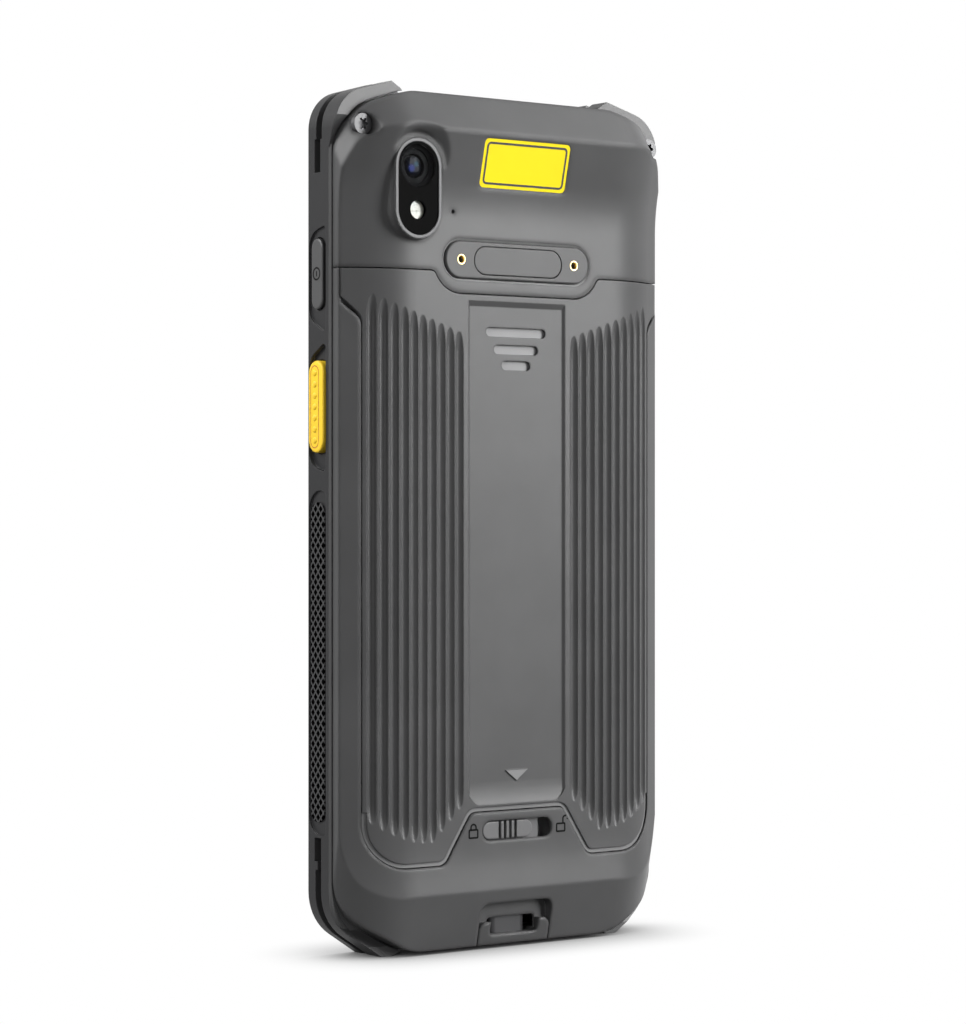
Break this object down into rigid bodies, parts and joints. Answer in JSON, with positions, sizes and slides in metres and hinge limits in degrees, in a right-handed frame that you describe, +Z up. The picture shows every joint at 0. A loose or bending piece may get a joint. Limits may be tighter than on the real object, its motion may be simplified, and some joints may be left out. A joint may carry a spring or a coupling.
{
  "type": "portable barcode data terminal",
  "caption": "Rugged handheld data terminal with a display in front and, on its back, a ribbed battery cover, sliding latch, camera, flash, pogo contacts and side triggers.",
  "frame": {"origin": "centre of the footprint, on the tips of the lower bumpers", "axes": "+Z up along the length, +Y out of the back with the battery cover, -Y out of the display, +X to the side with the power key"},
  "size_m": [0.0784, 0.0175, 0.1641],
  "materials": {
    "shell": "fine grained matte",
    "frame": "satin grained",
    "glass": "polished",
    "screen": "gloss",
    "gasket": "matte",
    "mesh": "woven",
    "earpiece": "matte",
    "lens": "gloss",
    "chassis": "bead blasted",
    "screw": "bright",
    "board": "solder mask",
    "flex": "polyimide film",
    "can": "tinned",
    "socket": "stamped",
    "battery": "smooth",
    "tab": "woven tape",
    "contact_block": "moulded",
    "seal": "silicone",
    "cover": "fine grained matte",
    "antenna": "film",
    "latch": "satin",
    "retainer": "matte",
    "port_shell": "drawn",
    "tongue": "moulded",
    "insert": "fine grained matte",
    "upper": "fine grained matte",
    "pad": "satin",
    "plug": "satin",
    "contact": "gold plated",
    "ring": "anodised",
    "window": "polished",
    "camera": "gloss",
    "lens_ring": "anodised",
    "flash": "clear over phosphor",
    "label": "satin film",
    "scanner": "matte",
    "scan_window": "gloss",
    "trigger": "satin",
    "key": "satin",
    "switch": "stamped",
    "grip": "textured"
  },
  "bodies": {
    "terminal": {"front_frame": "frame", "display_glass": "glass", "display_gasket": "gasket", "display_module": "screen", "earpiece_mesh": "mesh", "earpiece": "earpiece", "front_camera": "lens", "chassis_plate": "chassis", "chassis_screws": "screw", "main_board": "board", "sub_board": "board", "flex_cable": "flex", "shield_cans": "can", "card_socket": "socket", "rear_housing": "shell", "housing_screws": "screw", "battery_pack": "battery", "battery_pull_tab": "tab", "battery_contacts": "contact_block", "battery_seal": "seal", "latch_retainer": "retainer", "usb_port": "port_shell", "usb_tongue": "tongue", "usb_insert": "insert", "upper_cover": "upper", "upper_cover_screws": "screw", "accessory_pad": "pad", "accessory_plug": "plug", "accessory_contacts": "contact", "camera_ring": "ring", "camera_window": "window", "camera_module": "camera", "camera_lens_ring": "lens_ring", "flash_lens": "flash", "label_plate": "label", "scan_engine": "scanner", "scan_window": "scan_window", "key_switches": "switch", "side_key_boards": "board", "side_grip_right": "grip", "side_grip_left": "grip"},
    "battery_cover": {"battery_cover": "cover", "cover_antenna": "antenna"},
    "latch": {"latch_slider": "latch"},
    "trigger_right": {"scan_trigger_right": "trigger"},
    "trigger_left": {"scan_trigger_left": "trigger"},
    "power": {"power_key": "key"},
    "volume": {"volume_key": "key"}
  },
  "joints": [
    {"name": "cover_hinge", "type": "hinge", "parent": "terminal", "child": "battery_cover", "pos_m": [0, 0.0056, 0.1286], "axis": [1, 0, 0], "range_deg": [0, 35]},
    {"name": "latch_slide", "type": "slide", "parent": "terminal", "child": "latch", "axis": [-1, 0, 0], "range_m": [0, 0.0044]},
    {"name": "trigger_right_press", "type": "slide", "parent": "terminal", "child": "trigger_right", "axis": [-1, 0, 0], "range_m": [0, 0.0005], "stiffness_N_per_m": 400},
    {"name": "trigger_left_press", "type": "slide", "parent": "terminal", "child": "trigger_left", "axis": [1, 0, 0], "range_m": [0, 0.0005], "stiffness_N_per_m": 400},
    {"name": "power_press", "type": "slide", "parent": "terminal", "child": "power", "axis": [-1, 0, 0], "range_m": [0, 0.0005], "stiffness_N_per_m": 400},
    {"name": "volume_press", "type": "slide", "parent": "terminal", "child": "volume", "axis": [1, 0, 0], "range_m": [0, 0.0005], "stiffness_N_per_m": 400}
  ]
}
